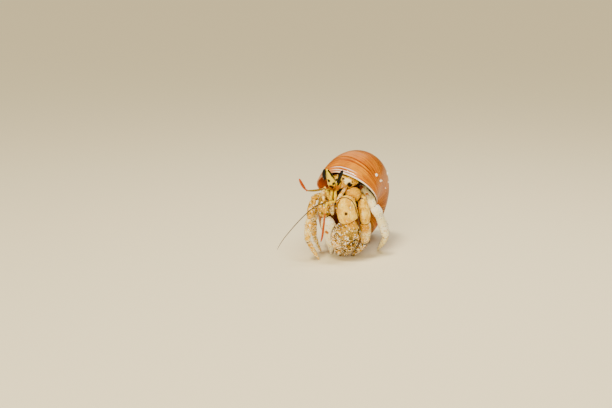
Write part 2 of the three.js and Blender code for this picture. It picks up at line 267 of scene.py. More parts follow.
def rounded_copy(names, mesh_size, relax=5, swell=0.0):
    """Solids with their facets rounded away, on an even mesh, in their own box and a little over."""
    shape = merged_copy(names)
    low, high = corners(v.co for v in shape.verts)
    shape = finished(
        shape,
        ("SUBSURF", {"levels": 2, "render_levels": 2}),
        ("REMESH", {"mode": "VOXEL", "voxel_size": mesh_size}),
        ("SMOOTH", {"factor": 0.5, "iterations": relax}),
    )
    grown = Vector((swell, swell, swell))
    fit_to_box(shape, low - Vector((swell, swell, min(swell, low.z))), high + grown)
    return shape


def roughen(shape, height, lump_mm, fine_mm=None):
    """Moves the surface in and out by soft lumps, and less by fine ones. The floor stays flat."""
    shape.normal_update()
    moves = []
    for v in shape.verts:
        lump = noise.fractal(v.co * per_metre(lump_mm), 0.7, 2.0, 3)
        fine = noise.noise(v.co * per_metre(fine_mm or lump_mm / 4))
        lift = min(1.0, v.co.z / (0.5 * MM))
        moves.append(v.normal * height * lift * (0.7 * lump + 0.3 * fine - 0.5))
    for v, move in zip(shape.verts, moves):
        v.co += move


# ---------- finishes ----------


def spotted(tree, place, ground, spots):
    """Paints round marks over a colour. Each spot is (centre, radius, colour)."""
    wobble = node(tree, "ShaderNodeTexNoise", {"Vector": place, "Scale": per_metre(0.7)})
    for centre, radius, spot_colour in spots:
        away = node(
            tree, "ShaderNodeVectorMath", {0: place, 1: centre}, operation="DISTANCE"
        ).outputs["Value"]
        uneven = node(
            tree,
            "ShaderNodeMath",
            {0: wobble.outputs[0], 1: radius * 0.9, 2: away},
            operation="MULTIPLY_ADD",
        ).outputs[0]
        inside = node(
            tree,
            "ShaderNodeMapRange",
            {"Value": uneven, "From Min": radius * 1.1, "From Max": radius * 1.7, "To Min": 1.0, "To Max": 0.0},
            interpolation_type="SMOOTHSTEP",
        ).outputs[0]
        ground = mixed(tree, inside, ground, spot_colour)
    return ground


def limey_plate(name, look, spots=()):
    """Chitin crusted with lime: matt and stony, mottled, with fine grit set in the surface."""
    material, tree, shader = new_material(f"limey_chitin_{name}")
    place = node(tree, "ShaderNodeTexCoord").outputs["Object"]
    cloud = node(tree, "ShaderNodeTexNoise", {"Vector": place, "Scale": per_metre(2.2), "Detail": 5.0})
    drawn = node(tree, "ShaderNodeMapping", {"Vector": place, "Scale": look.get("grain", (1.0, 1.0, 1.0))})
    veins = node(
        tree,
        "ShaderNodeTexNoise",
        {"Vector": drawn.outputs[0], "Scale": per_metre(0.9), "Detail": 6.0, "Roughness": 0.7, "Distortion": 0.6},
    )
    light_share = node(
        tree, "ShaderNodeMapRange", {"Value": cloud.outputs[0], "From Min": 0.42, "From Max": 0.6}
    ).outputs[0]
    base = mixed(tree, light_share, colour(look["ground"]), colour(look["light"]))
    patch_share = node(
        tree,
        "ShaderNodeMapRange",
        {"Value": veins.outputs[0], "From Min": 0.66 - look["patchy"], "From Max": 0.72 - look["patchy"]},
    ).outputs[0]
    base = mixed(tree, patch_share, base, colour(look["patch"]))
    dark_share = node(
        tree,
        "ShaderNodeMapRange",
        {"Value": veins.outputs[0], "From Min": 0.44, "From Max": 0.32, "To Max": look["dirty"]},
    ).outputs[0]
    base = mixed(tree, dark_share, base, colour("brown"))
    grit = node(tree, "ShaderNodeTexVoronoi", {"Vector": place, "Scale": per_metre(look["grit"])})
    grain = node(tree, "ShaderNodeSeparateColor", {0: grit.outputs["Color"]})
    # Painted shade and dark pits: low on a plate the pits between the grains turn brown, more so towards the bottom,
    # partly as shade on the downward-facing part.
    if "crust" in look:
        top, bottom = look["crust"]
        height = node(tree, "ShaderNodeSeparateXYZ", {0: place}).outputs[2]
        depth = node(
            tree, "ShaderNodeMapRange", {"Value": height, "From Min": top * MM, "From Max": bottom * MM}
        ).outputs[0]
        pitted = node(
            tree, "ShaderNodeMapRange", {"Value": grain.outputs[2], "From Min": 0.3, "From Max": 0.4}
        ).outputs[0]
        pits_and_shade = node(tree, "ShaderNodeMath", {0: depth, 1: pitted}, operation="MULTIPLY").outputs[0]
        base = mixed(tree, pits_and_shade, base, colour("brown"))
    grain_colour = node(
        tree,
        "ShaderNodeValToRGB",
        {0: grain.outputs[0]},
        stops=[(0.0, colour("brown")), (0.3, colour("tan")), (0.55, colour("straw")), (0.75, colour("white"))],
    ).outputs[0]
    gritty = node(
        tree,
        "ShaderNodeMapRange",
        {"Value": grain.outputs[1], "From Min": 1.0 - look["gritty"], "From Max": 1.02 - look["gritty"], "To Max": 0.9},
    ).outputs[0]
    base = mixed(tree, gritty, base, grain_colour)
    base = spotted(tree, place, base, spots)
    rough = node(
        tree, "ShaderNodeMapRange", {"Value": veins.outputs[0], "To Min": 0.35, "To Max": 0.62}
    ).outputs[0]
    fine = node(tree, "ShaderNodeTexNoise", {"Vector": place, "Scale": per_metre(0.18), "Detail": 3.0})
    height = mixed(tree, 0.5, grit.outputs["Distance"], fine.outputs[0])
    height = mixed(tree, 0.4, height, veins.outputs[0])
    bump = node(tree, "ShaderNodeBump", {"Height": height, "Strength": 0.8, "Distance": 0.2 * MM})
    tree.links.new(base, shader.inputs["Base Color"])
    tree.links.new(rough, shader.inputs["Roughness"])
    tree.links.new(bump.outputs[0], shader.inputs["Normal"])
    shader.inputs["IOR"].default_value = 1.18
    shader.inputs["Subsurface Weight"].default_value = 0.05
    shader.inputs["Subsurface Radius"].default_value = (0.4 * MM, 0.25 * MM, 0.12 * MM)
    return material


def smooth_horn(name, ground, light, roughness=0.3, spots=(), band_mm=None):
    """Bare chitin, like polished horn: glossy, a little see-through, clouded from pale to deep."""
    material, tree, shader = new_material(f"polished_chitin_{name}")
    place = node(tree, "ShaderNodeTexCoord").outputs["Object"]
    cloud = node(tree, "ShaderNodeTexNoise", {"Vector": place, "Scale": per_metre(0.9), "Detail": 3.0})
    share = node(
        tree, "ShaderNodeMapRange", {"Value": cloud.outputs[0], "From Min": 0.4, "From Max": 0.62}
    ).outputs[0]
    base = spotted(tree, place, mixed(tree, share, ground, light), spots)
    tree.links.new(base, shader.inputs["Base Color"])
    height = cloud.outputs[0]
    if band_mm:
        rings = node(
            tree,
            "ShaderNodeTexWave",
            {"Vector": place, "Scale": per_metre(band_mm) / FULL_TURN},
            bands_direction="Z",
        )
        height = rings.outputs[1]
    bump = node(tree, "ShaderNodeBump", {"Height": height, "Strength": 0.3, "Distance": 0.04 * MM})
    tree.links.new(bump.outputs[0], shader.inputs["Normal"])
    shader.inputs["Roughness"].default_value = roughness
    shader.inputs["IOR"].default_value = 1.15
    shader.inputs["Coat Weight"].default_value = 0.2
    shader.inputs["Coat Roughness"].default_value = 0.08
    shader.inputs["Subsurface Weight"].default_value = 0.15
    shader.inputs["Subsurface Radius"].default_value = (0.5 * MM, 0.25 * MM, 0.1 * MM)
    return material


def wet_cornea():
    """The faceted cornea: near black, with a wet, sharp highlight."""
    material, tree, shader = new_material("wet_cornea")
    place = node(tree, "ShaderNodeTexCoord").outputs["Object"]
    # Real facets are about 0.03 mm across; these are drawn at 0.06 mm so that they show.
    facets = node(tree, "ShaderNodeTexVoronoi", {"Vector": place, "Scale": per_metre(0.06)})
    bump = node(
        tree, "ShaderNodeBump", {"Height": facets.outputs["Distance"], "Strength": 0.02, "Distance": 0.01 * MM}
    )
    tree.links.new(bump.outputs[0], shader.inputs["Normal"])
    shader.inputs["Base Color"].default_value = colour("cornea")
    shader.inputs["Roughness"].default_value = 0.12
    shader.inputs["IOR"].default_value = 1.28
    return material


def soft_skin(name, ground):
    """Thin wrinkled skin between and behind the plates: brown, moist, soft in the light."""
    material, tree, shader = new_material(f"soft_skin_{name}")
    place = node(tree, "ShaderNodeTexCoord").outputs["Object"]
    cloud = node(tree, "ShaderNodeTexNoise", {"Vector": place, "Scale": per_metre(1.6), "Detail": 4.0})
    base = mixed(tree, cloud.outputs[0], ground, colour("dark_mark_and_shade"))
    wrinkles = node(
        tree, "ShaderNodeTexNoise", {"Vector": place, "Scale": per_metre(0.35), "Detail": 4.0, "Distortion": 1.0}
    )
    bump = node(tree, "ShaderNodeBump", {"Height": wrinkles.outputs[0], "Strength": 0.6, "Distance": 0.1 * MM})
    tree.links.new(base, shader.inputs["Base Color"])
    tree.links.new(bump.outputs[0], shader.inputs["Normal"])
    shader.inputs["Roughness"].default_value = 0.42
    shader.inputs["Subsurface Weight"].default_value = 0.2
    shader.inputs["Subsurface Radius"].default_value = (0.6 * MM, 0.25 * MM, 0.12 * MM)
    return material


def loose_grains(name, stops, roughness):
    """Grains and beads, each of one tint, which its own attribute gives."""
    material, tree, shader = new_material(name)
    tint = node(tree, "ShaderNodeAttribute", attribute_name="tint").outputs["Fac"]
    tinted = node(tree, "ShaderNodeValToRGB", {0: tint}, stops=stops).outputs[0]
    tree.links.new(tinted, shader.inputs["Base Color"])
    shader.inputs["Roughness"].default_value = roughness
    shader.inputs["Subsurface Weight"].default_value = 0.1
    shader.inputs["Subsurface Radius"].default_value = (0.3 * MM, 0.2 * MM, 0.15 * MM)
    return material


# ---------- the snail shell ----------

# White crusts of lime that sit on the shell: (place in mm, width in mm).
SHELL_CRUSTS = (
    ((7.6, -13.6, 27.2), 1.1),
    ((12.3, -1.9, 25.3), 1.0),
    ((9.1, -11.9, 24.9), 0.8),
    ((9.9, -11.0, 24.8), 0.7),
    ((12.7, -2.0, 22.5), 0.7),
    ((11.5, -4.9, 21.0), 0.6),
)

# A logarithmic spiral of egg-shaped rings, whose lengths are shares of the radius at the lip.
SHELL_RADIUS = 21.95 * MM
WHORL_GROWTH = 2.0
RING_CENTRE = 0.507
RING_RADIAL = 0.497
RING_DROP = 0.575
RING_AXIAL = 0.476
LIP_WALL = 0.6 * MM
SHELL_WALL = 1.1 * MM
HOLLOW_TURN = math.radians(200)
APEX_TURN = math.radians(-1500)
AXIS_POINT = mm(2.7, -4.7, 13.85)
APEX_TILT = math.radians(2.5)
APEX_YAW = math.radians(33)
LIP_LEAN = math.radians(51.4)
LIP_SWEEP = math.radians(9)  # how far the lip's apex side runs on past the rest of it
SWEEP_START = math.radians(-50)
# One turn is about 138 mm of edge at the lip, so 115 lines a turn are 1.2 mm apart.
GROWTH_LINES = 115.0
GROWTH_PATCHES = 2.4
RING_SIDES = 56
TURN_STEP = math.radians(5)


def shell_place():
    """Where the shell stands: its z runs to the apex and its x points out to the lip."""
    apex = Vector(
        (
            -math.cos(APEX_TILT) * math.cos(APEX_YAW),
            math.cos(APEX_TILT) * math.sin(APEX_YAW),
            math.sin(APEX_TILT),
        )
    )
    lip = Vector((0, -math.sin(LIP_LEAN), math.cos(LIP_LEAN)))
    lip = (lip - apex * lip.dot(apex)).normalized()
    turn = Matrix((lip, apex.cross(lip), apex)).transposed().to_4x4()
    return Matrix.Translation(AXIS_POINT + apex * RING_DROP * SHELL_RADIUS) @ turn


def ring_place(turn, inset):
    """Lays a unit circle on the spiral's ring at a turn, drawn in by an inset."""
    size = SHELL_RADIUS * WHORL_GROWTH ** (turn / FULL_TURN)
    out = Vector((math.cos(turn), -math.sin(turn), 0))
    up = Vector((0, 0, 1))
    radial = out * (RING_RADIAL * size - inset)
    axial = up * (RING_AXIAL * size - inset)
    ring = Matrix((radial, axial, out.cross(up))).transposed().to_4x4()
    centre = out * RING_CENTRE * size - up * RING_DROP * size
    return shell_place() @ Matrix.Translation(centre) @ ring


def shell_stations():
    """(turn, inset) of every ring: out along the spiral, round the lip, and back in."""
    outward = [(APEX_TURN + i * TURN_STEP, 0.0) for i in range(round(-APEX_TURN / TURN_STEP))]
    lip = [
        (-LIP_WALL / SHELL_RADIUS * (1 - math.sin(a)), LIP_WALL * (1 - math.cos(a)) / 2)
        for a in (math.radians(d) for d in range(0, 181, 30))
    ]
    inward = []
    for i in range(1, round(HOLLOW_TURN / TURN_STEP)):
        turn = -i * TURN_STEP
        thick = min(1.0, -turn / math.radians(60))
        inward.append((turn, LIP_WALL + (SHELL_WALL - LIP_WALL) * thick))
    return outward + lip + inward


def sweep_lip(verts, around, turn, inset):
    """Runs the apex side of a ring near the lip on along the spiral."""
    ring = ring_place(turn, inset).inverted()
    share = max(0.0, 1 - turn / SWEEP_START) ** 2
    for v in verts:
        angle = v[around] * FULL_TURN
        ahead = LIP_SWEEP * share * max(0.0, math.sin(angle)) ** 1.3 * min(1.0, 1 + math.cos(angle))
        v.co = ring_place(turn + ahead, inset) @ ring @ v.co


def spiral_shell():
    """The shell as one closed surface, with UV: u round the ring, v turns from the lip."""
    shape = bmesh.new()
    around = shape.verts.layers.float.new("around")
    turned = shape.verts.layers.float.new("turned")
    side = shape.verts.layers.float.new("inner")
    stations = shell_stations()
    place = ring_place(*stations[0])
    start = bmesh.ops.create_circle(shape, segments=RING_SIDES, radius=1.0)["verts"]
    for v in start:
        v[around] = (math.atan2(v.co.y, v.co.x) / FULL_TURN) % 1.0
        v[turned] = stations[0][0] / FULL_TURN
    bmesh.ops.transform(shape, matrix=place, verts=start)
    rim = list(shape.edges)
    bmesh.ops.edgeloop_fill(shape, edges=rim)
    swept = []
    for i, (turn, inset) in enumerate(stations[1:], start=1):
        step = ring_place(turn, inset) @ ring_place(*stations[i - 1]).inverted()
        grown = bmesh.ops.extrude_edge_only(shape, edges=rim)["geom"]
        verts = [g for g in grown if isinstance(g, bmesh.types.BMVert)]
        rim = [g for g in grown if isinstance(g, bmesh.types.BMEdge) and g.is_boundary]
        bmesh.ops.transform(shape, matrix=step, verts=verts)
        for v in verts:
            v[turned] = turn / FULL_TURN
            v[side] = min(1.0, inset / LIP_WALL)
        if turn > SWEEP_START:
            swept.append((verts, around, turn, inset))
    bmesh.ops.edgeloop_fill(shape, edges=rim)
    for ring in swept:
        sweep_lip(*ring)
    bmesh.ops.recalc_face_normals(shape, faces=shape.faces)
    uv = shape.loops.layers.uv.new("growth")
    for face in shape.faces:
        wraps = any(v[around] > 0.75 for v in face.verts)
        for loop in face.loops:
            share = loop.vert[around]
            loop[uv].uv = (share + 1 if wraps and share < 0.25 else share, loop.vert[turned])
    return shape, around, turned, side


def stand_on_floor(shape):
    """Cuts a shape off flat at the floor and closes the cut."""
    everything = shape.verts[:] + shape.edges[:] + shape.faces[:]
    cut = bmesh.ops.bisect_plane(
        shape, geom=everything, plane_co=(0, 0, 0), plane_no=(0, 0, -1), clear_outer=True
    )
    rim = [g for g in cut["geom_cut"] if isinstance(g, bmesh.types.BMEdge)]
    if rim:
        bmesh.ops.edgeloop_fill(shape, edges=rim)


def ring_pattern(tree, parts, rounds, lines):
    """Where a pattern is read that meets itself round a ring: `rounds` patches round, `lines` a turn."""
    angle = node(tree, "ShaderNodeMath", {0: parts.outputs[0], 1: FULL_TURN}, operation="MULTIPLY").outputs[0]
    reach = rounds / FULL_TURN
    axes = {}
    for i, way in enumerate(("COSINE", "SINE")):
        share = node(tree, "ShaderNodeMath", {0: angle}, operation=way).outputs[0]
        axes[i] = node(tree, "ShaderNodeMath", {0: share, 1: reach}, operation="MULTIPLY").outputs[0]
    axes[2] = node(tree, "ShaderNodeMath", {0: parts.outputs[1], 1: lines}, operation="MULTIPLY").outputs[0]
    return node(tree, "ShaderNodeCombineXYZ", axes).outputs[0]


def glazed_shell():
    """Sea snail shell: smooth aragonite with a glaze, streaked along its growth lines."""
    material, tree, shader = new_material("glazed_snail_shell")
    place = node(tree, "ShaderNodeTexCoord").outputs["Object"]
    growth = node(tree, "ShaderNodeUVMap", uv_map="growth").outputs[0]
    parts = node(tree, "ShaderNodeSeparateXYZ", {0: growth})
    drift = node(tree, "ShaderNodeTexNoise", {"Vector": place, "Scale": per_metre(7.0), "Detail": 2.0})
    coarse_place = ring_pattern(tree, parts, GROWTH_PATCHES, GROWTH_LINES)
    streaks = node(
        tree, "ShaderNodeTexNoise", {"Vector": coarse_place, "Scale": 1.0, "Detail": 4.0, "Roughness": 0.6}
    )
    fine_place = ring_pattern(tree, parts, 5.0, 520.0)
    fine = node(tree, "ShaderNodeTexNoise", {"Vector": fine_place, "Scale": 1.0, "Detail": 3.0})
    height = node(tree, "ShaderNodeSeparateXYZ", {0: place})
    crown = node(
        tree,
        "ShaderNodeMapRange",
        {"Value": height.outputs[2], "From Min": 31 * MM, "From Max": 35 * MM},
        interpolation_type="SMOOTHSTEP",
    ).outputs[0]
    low = node(
        tree,
        "ShaderNodeMapRange",
        {"Value": height.outputs[2], "From Min": 22 * MM, "From Max": 12 * MM},
        interpolation_type="SMOOTHSTEP",
    ).outputs[0]
    base = mixed(tree, low, colour("shell_orange"), colour("shell_amber"))
    base = mixed(tree, crown, base, colour("shell_salmon"))
    # A golden patch is painted on the shell behind the middle of the lip.
    base = spotted(tree, place, base, [(mm(1.5, -16.5, 29.5), 3.4 * MM, colour("shell_bright"))])
    streak_share = node(
        tree,
        "ShaderNodeMapRange",
        {"Value": streaks.outputs[0], "From Min": 0.48, "From Max": 0.58, "To Max": 0.9},
    ).outputs[0]
    base = mixed(tree, streak_share, base, colour("shell_deep"))
    pale_share = node(
        tree,
        "ShaderNodeMapRange",
        {"Value": fine.outputs[0], "From Min": 0.46, "From Max": 0.6, "To Max": 0.85},
    ).outputs[0]
    base = mixed(tree, pale_share, base, colour("shell_bright"))
    clouded = node(
        tree, "ShaderNodeMapRange", {"Value": drift.outputs[0], "From Min": 0.45, "From Max": 0.7, "To Max": 0.3}
    ).outputs[0]
    base = mixed(tree, clouded, base, colour("shell_amber"))
    # Painted shadow: the wall that faces the mouth of the shell is painted dark, low down behind the claws, where the
    # crab shades it.
    base = spotted(tree, place, base, [(mm(-5.4, -12.6, 12.2), 3.0 * MM, colour("shell_throat_shade"))])
    inner = node(tree, "ShaderNodeAttribute", attribute_name="inner").outputs["Fac"]
    inner_share = node(
        tree, "ShaderNodeMapRange", {"Value": inner, "From Min": 0.75, "From Max": 1.0}
    ).outputs[0]
    # Painted light and shade: the inner wall is painted bright where the light comes in over the lip, and dark deep in
    # the throat.
    depth = node(
        tree, "ShaderNodeMapRange", {"Value": height.outputs[0], "From Min": -8.5 * MM, "From Max": -6.0 * MM}
    ).outputs[0]
    lit_and_shaded_wall = mixed(tree, depth, colour("shell_inside_lit"), colour("shell_throat_shade"))
    base = mixed(tree, inner_share, base, lit_and_shaded_wall)
    lip = node(
        tree,
        "ShaderNodeMapRange",
        {"Value": parts.outputs[1], "From Min": -0.0042, "From Max": -0.0028},
        interpolation_type="SMOOTHSTEP",
    ).outputs[0]
    # The pale lip, whitened as a painted highlight, begins over the left eye and darkens again low down.
    for axis, dark_at, pale_at in ((0, -7.0, -3.5), (2, 17.0, 23.0)):
        edge = node(
            tree,
            "ShaderNodeMapRange",
            {"Value": height.outputs[axis], "From Min": dark_at * MM, "From Max": pale_at * MM, "To Min": 0.15},
        ).outputs[0]
        lip = node(tree, "ShaderNodeMath", {0: lip, 1: edge}, operation="MULTIPLY").outputs[0]
    base = mixed(tree, lip, base, colour("shell_lip_highlight"))
    # Two thin ridges run along the lip, 1.1 and 2.4 mm behind it; on the crown their crests carry painted highlights in
    # the pale lip colour.
    near_lip = node(
        tree, "ShaderNodeMapRange", {"Value": parts.outputs[1], "From Min": -0.028, "From Max": 0.0}
    ).outputs[0]
    flat, crest = (0.0, 0.0, 0.0, 1.0), (1.0, 1.0, 1.0, 1.0)
    ridges = node(
        tree,
        "ShaderNodeValToRGB",
        {0: near_lip},
        stops=[(0.31, flat), (0.38, crest), (0.45, flat), (0.64, flat), (0.71, crest), (0.78, flat)],
    ).outputs[0]
    ridge_highlight = ridges
    for dark_at, pale_at in ((-8.0, -5.5), (1.5, -1.0)):
        edge = node(
            tree,
            "ShaderNodeMapRange",
            {"Value": height.outputs[0], "From Min": dark_at * MM, "From Max": pale_at * MM},
        ).outputs[0]
        ridge_highlight = node(tree, "ShaderNodeMath", {0: ridge_highlight, 1: edge}, operation="MULTIPLY").outputs[0]
    base = mixed(tree, ridge_highlight, base, colour("shell_lip_highlight"))
    bump_height = mixed(tree, 0.4, streaks.outputs[0], fine.outputs[0])
    bump_height = node(tree, "ShaderNodeMath", {0: bump_height, 1: ridges}, operation="ADD").outputs[0]
    bump = node(tree, "ShaderNodeBump", {"Height": bump_height, "Strength": 0.4, "Distance": 0.08 * MM})
    # The glaze is whole on top and worn thin low down.
    glaze = node(
        tree,
        "ShaderNodeMapRange",
        {"Value": height.outputs[2], "From Min": 22 * MM, "From Max": 28 * MM, "To Min": 0.05, "To Max": 0.45},
    ).outputs[0]
    tree.links.new(glaze, shader.inputs["Coat Weight"])
    rough = node(
        tree, "ShaderNodeMapRange", {"Value": streaks.outputs[0], "To Min": 0.18, "To Max": 0.42}
    ).outputs[0]
    tree.links.new(base, shader.inputs["Base Color"])
    tree.links.new(rough, shader.inputs["Roughness"])
    tree.links.new(bump.outputs[0], shader.inputs["Normal"])
    shader.inputs["IOR"].default_value = 1.15
    shader.inputs["Coat Roughness"].default_value = 0.03
    shader.inputs["Subsurface Weight"].default_value = 0.1
    shader.inputs["Subsurface Radius"].default_value = (1.5 * MM, 0.6 * MM, 0.3 * MM)
    return material


def lime_crusts(shell):
    """Small round crusts of lime on the shell's surface."""
    shape = bmesh.new()
    for place, width in SHELL_CRUSTS:
        _, point, normal, _ = shell.closest_point_on_mesh(mm(*place))
        made = bmesh.ops.create_icosphere(
            shape, subdivisions=3, radius=width / 2 * MM, matrix=facing_matrix(point, normal)
        )["verts"]
        for v in made:
            v.co += (v.co - point) * 0.25 * noise.noise(v.co * per_metre(0.3))
    return shape


def facing_matrix(point, normal, sink=0.0):
    return Matrix.Translation(point - normal * sink) @ normal.to_track_quat("Z", "Y").to_matrix().to_4x4()


class OBJECT_OT_hermit_shell(bpy.types.Operator):
    """Winds the snail shell as a spiral with growth lines and a thin pale lip"""

    bl_idname = "object.hermit_shell"
    bl_label = "Snail shell"

    def execute(self, context):
        shape, around, turned, side = spiral_shell()
        relief = sizes().growth_relief
        shape.normal_update()
        for v in shape.verts:
            angle = v[around] * FULL_TURN
            reach = GROWTH_PATCHES / FULL_TURN
            spot = (math.cos(angle) * reach, math.sin(angle) * reach, v[turned] * GROWTH_LINES)
            wave = noise.noise(spot) - 0.4
            v.co += v.normal * relief * wave * (1 - v[side])
        stand_on_floor(shape)
        fit_to_box(shape, *(Vector(corner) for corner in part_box("snail_shell")))
        shell = add_piece("glazed_snail_shell", shape, glazed_shell(), ["snail_shell"])
        crust = dict(PALE, ground="white")
        add_piece("shell_lime_crusts", lime_crusts(shell), limey_plate("crusts", crust))
        return {"FINISHED"}


# ---------- limb plates ----------

RIDGED = (1.6, 1.6, 0.35)  # draws the veins out along an upright plate
TAN = {
    "ground": "tan", "light": "straw", "patch": "cream", "patchy": 0.09, "dirty": 0.75,
    "grit": 0.3, "gritty": 0.03, "grain": RIDGED,
}
# The palm's crust, brown pits from 12 mm down to 7 mm, is partly painted shade.
PALM = {
    "ground": "tan", "light": "khaki", "patch": "straw", "patchy": 0.06, "dirty": 0.8,
    "grit": 0.42, "gritty": 0.3, "crust": (12.0, 7.0), "grain": RIDGED,
}
SANDY = {
    "ground": "tan", "light": "cream", "patch": "straw", "patchy": 0.1, "dirty": 0.9,
    "grit": 0.36, "gritty": 0.35,
}
CRUSTED = {
    "ground": "brown", "light": "tan", "patch": "cream", "patchy": 0.08, "dirty": 0.9,
    "grit": 0.42, "gritty": 0.5,
}
OCHRE = {
    "ground": "gold", "light": "tan", "patch": "straw", "patchy": 0.08, "dirty": 0.6,
    "grit": 0.3, "gritty": 0.08, "grain": RIDGED,
}
PALE = {
    "ground": "ivory", "light": "white", "patch": "cream", "patchy": 0.08, "dirty": 0.2,
    "grit": 0.32, "gritty": 0.08,
}
BUFF = {
    "ground": "cream", "light": "ivory", "patch": "straw", "patchy": 0.08, "dirty": 0.4,
    "grit": 0.32, "gritty": 0.12, "grain": RIDGED,
}
MUDDY = {
    "ground": "olive", "light": "tan", "patch": "cream", "patchy": 0.06, "dirty": 0.9,
    "grit": 0.34, "gritty": 0.3, "grain": RIDGED,
}
RUSTY = {
    "ground": "skin", "light": "tan", "patch": "brown", "patchy": 0.12, "dirty": 0.8,
    "grit": 0.36, "gritty": 0.15, "grain": RIDGED,
}
GREYISH = {
    "ground": "tan", "light": "cream", "patch": "skin", "patchy": 0.12, "dirty": 0.7,
    "grit": 0.36, "gritty": 0.15, "grain": RIDGED,
}
# The shield's gold-brown ground is partly painted shade, where the shield lies under the lip of the shell.
SHIELD = {
    "ground": "gold", "light": "tan", "patch": "straw", "patchy": 0.12, "dirty": 0.8,
    "grit": 0.3, "gritty": 0.15,
}

# Finish and round marks of each plate: (centre in mm, radius in mm, colour).
CLAW_LOOKS = {
    "claw_left_merus": (OCHRE, []),
    "claw_left_carpus": (TAN, [((-2.7, -27.0, 17.3), 0.5, "brown"), ((0.5, -22.9, 20.3), 0.6, "brown")]),
    "claw_left_palm": (
        PALM,
        [
            # Painted shadow: dark marks along the palm's edge, where it meets the leg beside it.
            ((1.7, -23.6, 12.8), 0.8, "dark_mark_and_shade"),
            ((1.4, -23.6, 11.4), 0.7, "dark_mark_and_shade"),
            ((1.1, -23.6, 10.1), 0.6, "dark_mark_and_shade"),
            ((0.4, -23.6, 7.7), 0.6, "dark_mark_and_shade"),
            ((0.0, -23.2, 6.5), 0.6, "dark_mark_and_shade"),
        ],
    ),
    "claw_left_dactyl": (CRUSTED, []),
    "claw_right_merus": (TAN, []),
    "claw_right_carpus": (MUDDY, []),
    "claw_right_palm": (PALE, [((-8.7, -22.3, 10.0), 0.8, "orange")]),
    "claw_right_dactyl": (PALE, []),
}
LEG_LOOKS = {
    "leg2_left": {"merus": TAN, "carpus": TAN, "propodus": SANDY, "dactyl": CRUSTED},
    "leg3_left": {"merus": BUFF, "carpus": PALE, "propodus": PALE, "dactyl": BUFF},
    "leg2_right": {"merus": MUDDY, "carpus": MUDDY, "propodus": SANDY, "dactyl": SANDY},
    "leg3_right": {"merus": SANDY, "carpus": SANDY, "propodus": SANDY, "dactyl": SANDY},
}
LEG_MARKS = {
    "leg3_left_merus": [
        # Painted shade: the dark orange-brown mark where the leg lies under the lip of the shell.
        ((2.5, -13.9, 23.2), 1.1, "antennule"),
        ((3.9, -15.3, 22.4), 0.7, "cream"),
        ((4.6, -16.5, 21.5), 0.6, "orange"),
    ],
    # The dark mark on the propodus is painted shadow beside the great claw's palm; the gold patch is the leg's own
    # colour.
    "leg2_left_propodus": [((3.4, -21.3, 11.4), 2.0, "gold"), ((3.2, -21.9, 13.6), 0.6, "dark_mark_and_shade")],
}


def marks(spots):
    return [(mm(*centre), radius * MM, colour(name)) for centre, radius, name in spots]


def add_plate(name, look, spots):
    shape = rounded_copy([name], sizes().form_mesh, swell=sizes().plate_swell)
    roughen(shape, sizes().plate_relief * 2, 1.4)
    add_piece(f"{name}_plate", shape, limey_plate(name, look, marks(spots)), [name])


class OBJECT_OT_hermit_claws(bpy.types.Operator):
    """Rounds and finishes the plates of the great claw and the small claw"""

    bl_idname = "object.hermit_claws"
    bl_label = "Claws"

    def execute(self, context):
        for name, (look, spots) in CLAW_LOOKS.items():
            add_plate(name, look, spots)
        return {"FINISHED"}


class OBJECT_OT_hermit_legs(bpy.types.Operator):
    """Rounds and finishes the plates of the walking legs and the small hind legs"""

    bl_idname = "object.hermit_legs"
    bl_label = "Legs"

    def execute(self, context):
        for leg, looks in LEG_LOOKS.items():
            for plate, look in looks.items():
                name = f"{leg}_{plate}"
                add_plate(name, look, LEG_MARKS.get(name, []))
        for name in ("leg4_left", "leg4_right"):
            add_plate(name, TAN, [])
        return {"FINISHED"}


# ---------- head ----------


EYESTALK_FEET = {"eyestalk_right": (-7.3, -22.5, 24.4), "eyestalk_left": (-5.2, -22.3, 24.4)}


class OBJECT_OT_hermit_eyes(bpy.types.Operator):
    """Makes the black corneas and the yellow eyestalks with their dark stripe"""

    bl_idname = "object.hermit_eyes"
    bl_label = "Eyes"

    def execute(self, context):
        stripes = {
            "eyestalk_right": [
                ((-8.1, -23.7, 30.7), 0.55),
                ((-7.7, -23.7, 30.2), 0.6),
                ((-7.3, -23.6, 29.7), 0.65),
                ((-6.9, -23.5, 29.2), 0.7),
                ((-6.5, -23.3, 28.7), 0.75),
                ((-6.1, -23.1, 28.1), 0.75),
                ((-8.3, -23.4, 27.2), 0.6),
                ((-6.6, -23.0, 26.3), 0.6),
                ((-7.7, -22.9, 25.2), 0.7),
                ((-6.9, -22.6, 24.6), 0.7),
            ],
            "eyestalk_left": [
                ((-5.2, -23.1, 27.2), 1.0),
                ((-4.6, -22.7, 26.6), 0.8),
                ((-5.0, -22.7, 25.7), 0.6),
            ],
        }
        for name, places in stripes.items():
            spots = marks([(EYESTALK_FEET[name], 1.5, "orange")] + [(*place, "dark_mark_and_shade") for place in places])
            shape = rounded_copy([name], 0.08 * MM)
            finish = smooth_horn(name, colour("bright_gold"), colour("straw"), 0.28, spots)
            add_piece(f"{name}_horn", shape, finish, [name])
        for name in ("eye_left", "eye_right"):
            shape = finished(merged_copy([name]), ("SUBSURF", {"levels": 3, "render_levels": 3}))
            fit_to_box(shape, *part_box(name))
            add_piece(f"{name}_cornea", shape, wet_cornea(), [name])
        return {"FINISHED"}


# The outer length of the outstretched feeler is olive.
FEELER_MARKS = {
    "antennule_right_stalk": [((x, y, z), 0.9, "olive") for x, y, z in (
        (-9.8, -26.1, 25.2), (-11.0, -26.5, 25.1), (-12.2, -26.9, 24.9), (-13.4, -27.2, 24.9), (-14.6, -27.3, 25.0),
    )],
}


